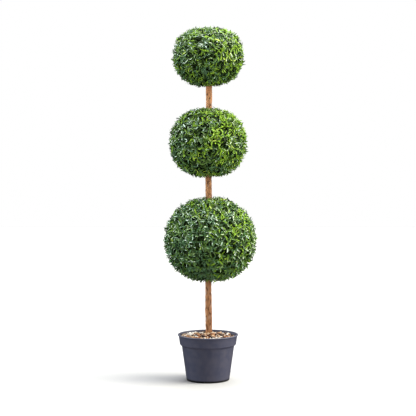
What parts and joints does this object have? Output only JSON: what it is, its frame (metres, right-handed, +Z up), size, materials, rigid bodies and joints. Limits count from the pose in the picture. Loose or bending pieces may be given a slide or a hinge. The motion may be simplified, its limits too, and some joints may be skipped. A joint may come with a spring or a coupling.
{
  "type": "artificial three-ball topiary tree",
  "caption": "Artificial potted topiary: clipped balls of small green leaves, one above another on a slim wooden pole, set in a tapered nursery pot topped with pale gravel.",
  "frame": {"origin": "centre of the pot's flat underside", "axes": "+Z up along the pole, +X to the right and +Y away from the viewer of the picture"},
  "size_m": [0.3131, 0.3137, 1.1987],
  "materials": {
    "pot_plastic": "moulded dark slate-blue polypropylene, dull, with a lighter rolled rim",
    "cast_fill": "rough cast cement, hidden under the stones",
    "pale_gravel": "washed beige, tan and white pebbles",
    "peeled_wood": "peeled natural stake, pinkish brown with fine grain",
    "leaf_green": "small moulded boxwood leaves, dark green with yellow-green tips, softly glossy"
  },
  "bodies": {
    "root": {"pot": "pot_plastic", "pot_fill": "cast_fill", "gravel": "pale_gravel", "pole": "peeled_wood", "foliage_ball_bottom": "leaf_green", "foliage_ball_middle": "leaf_green", "foliage_ball_top": "leaf_green"}
  },
  "joints": []
}
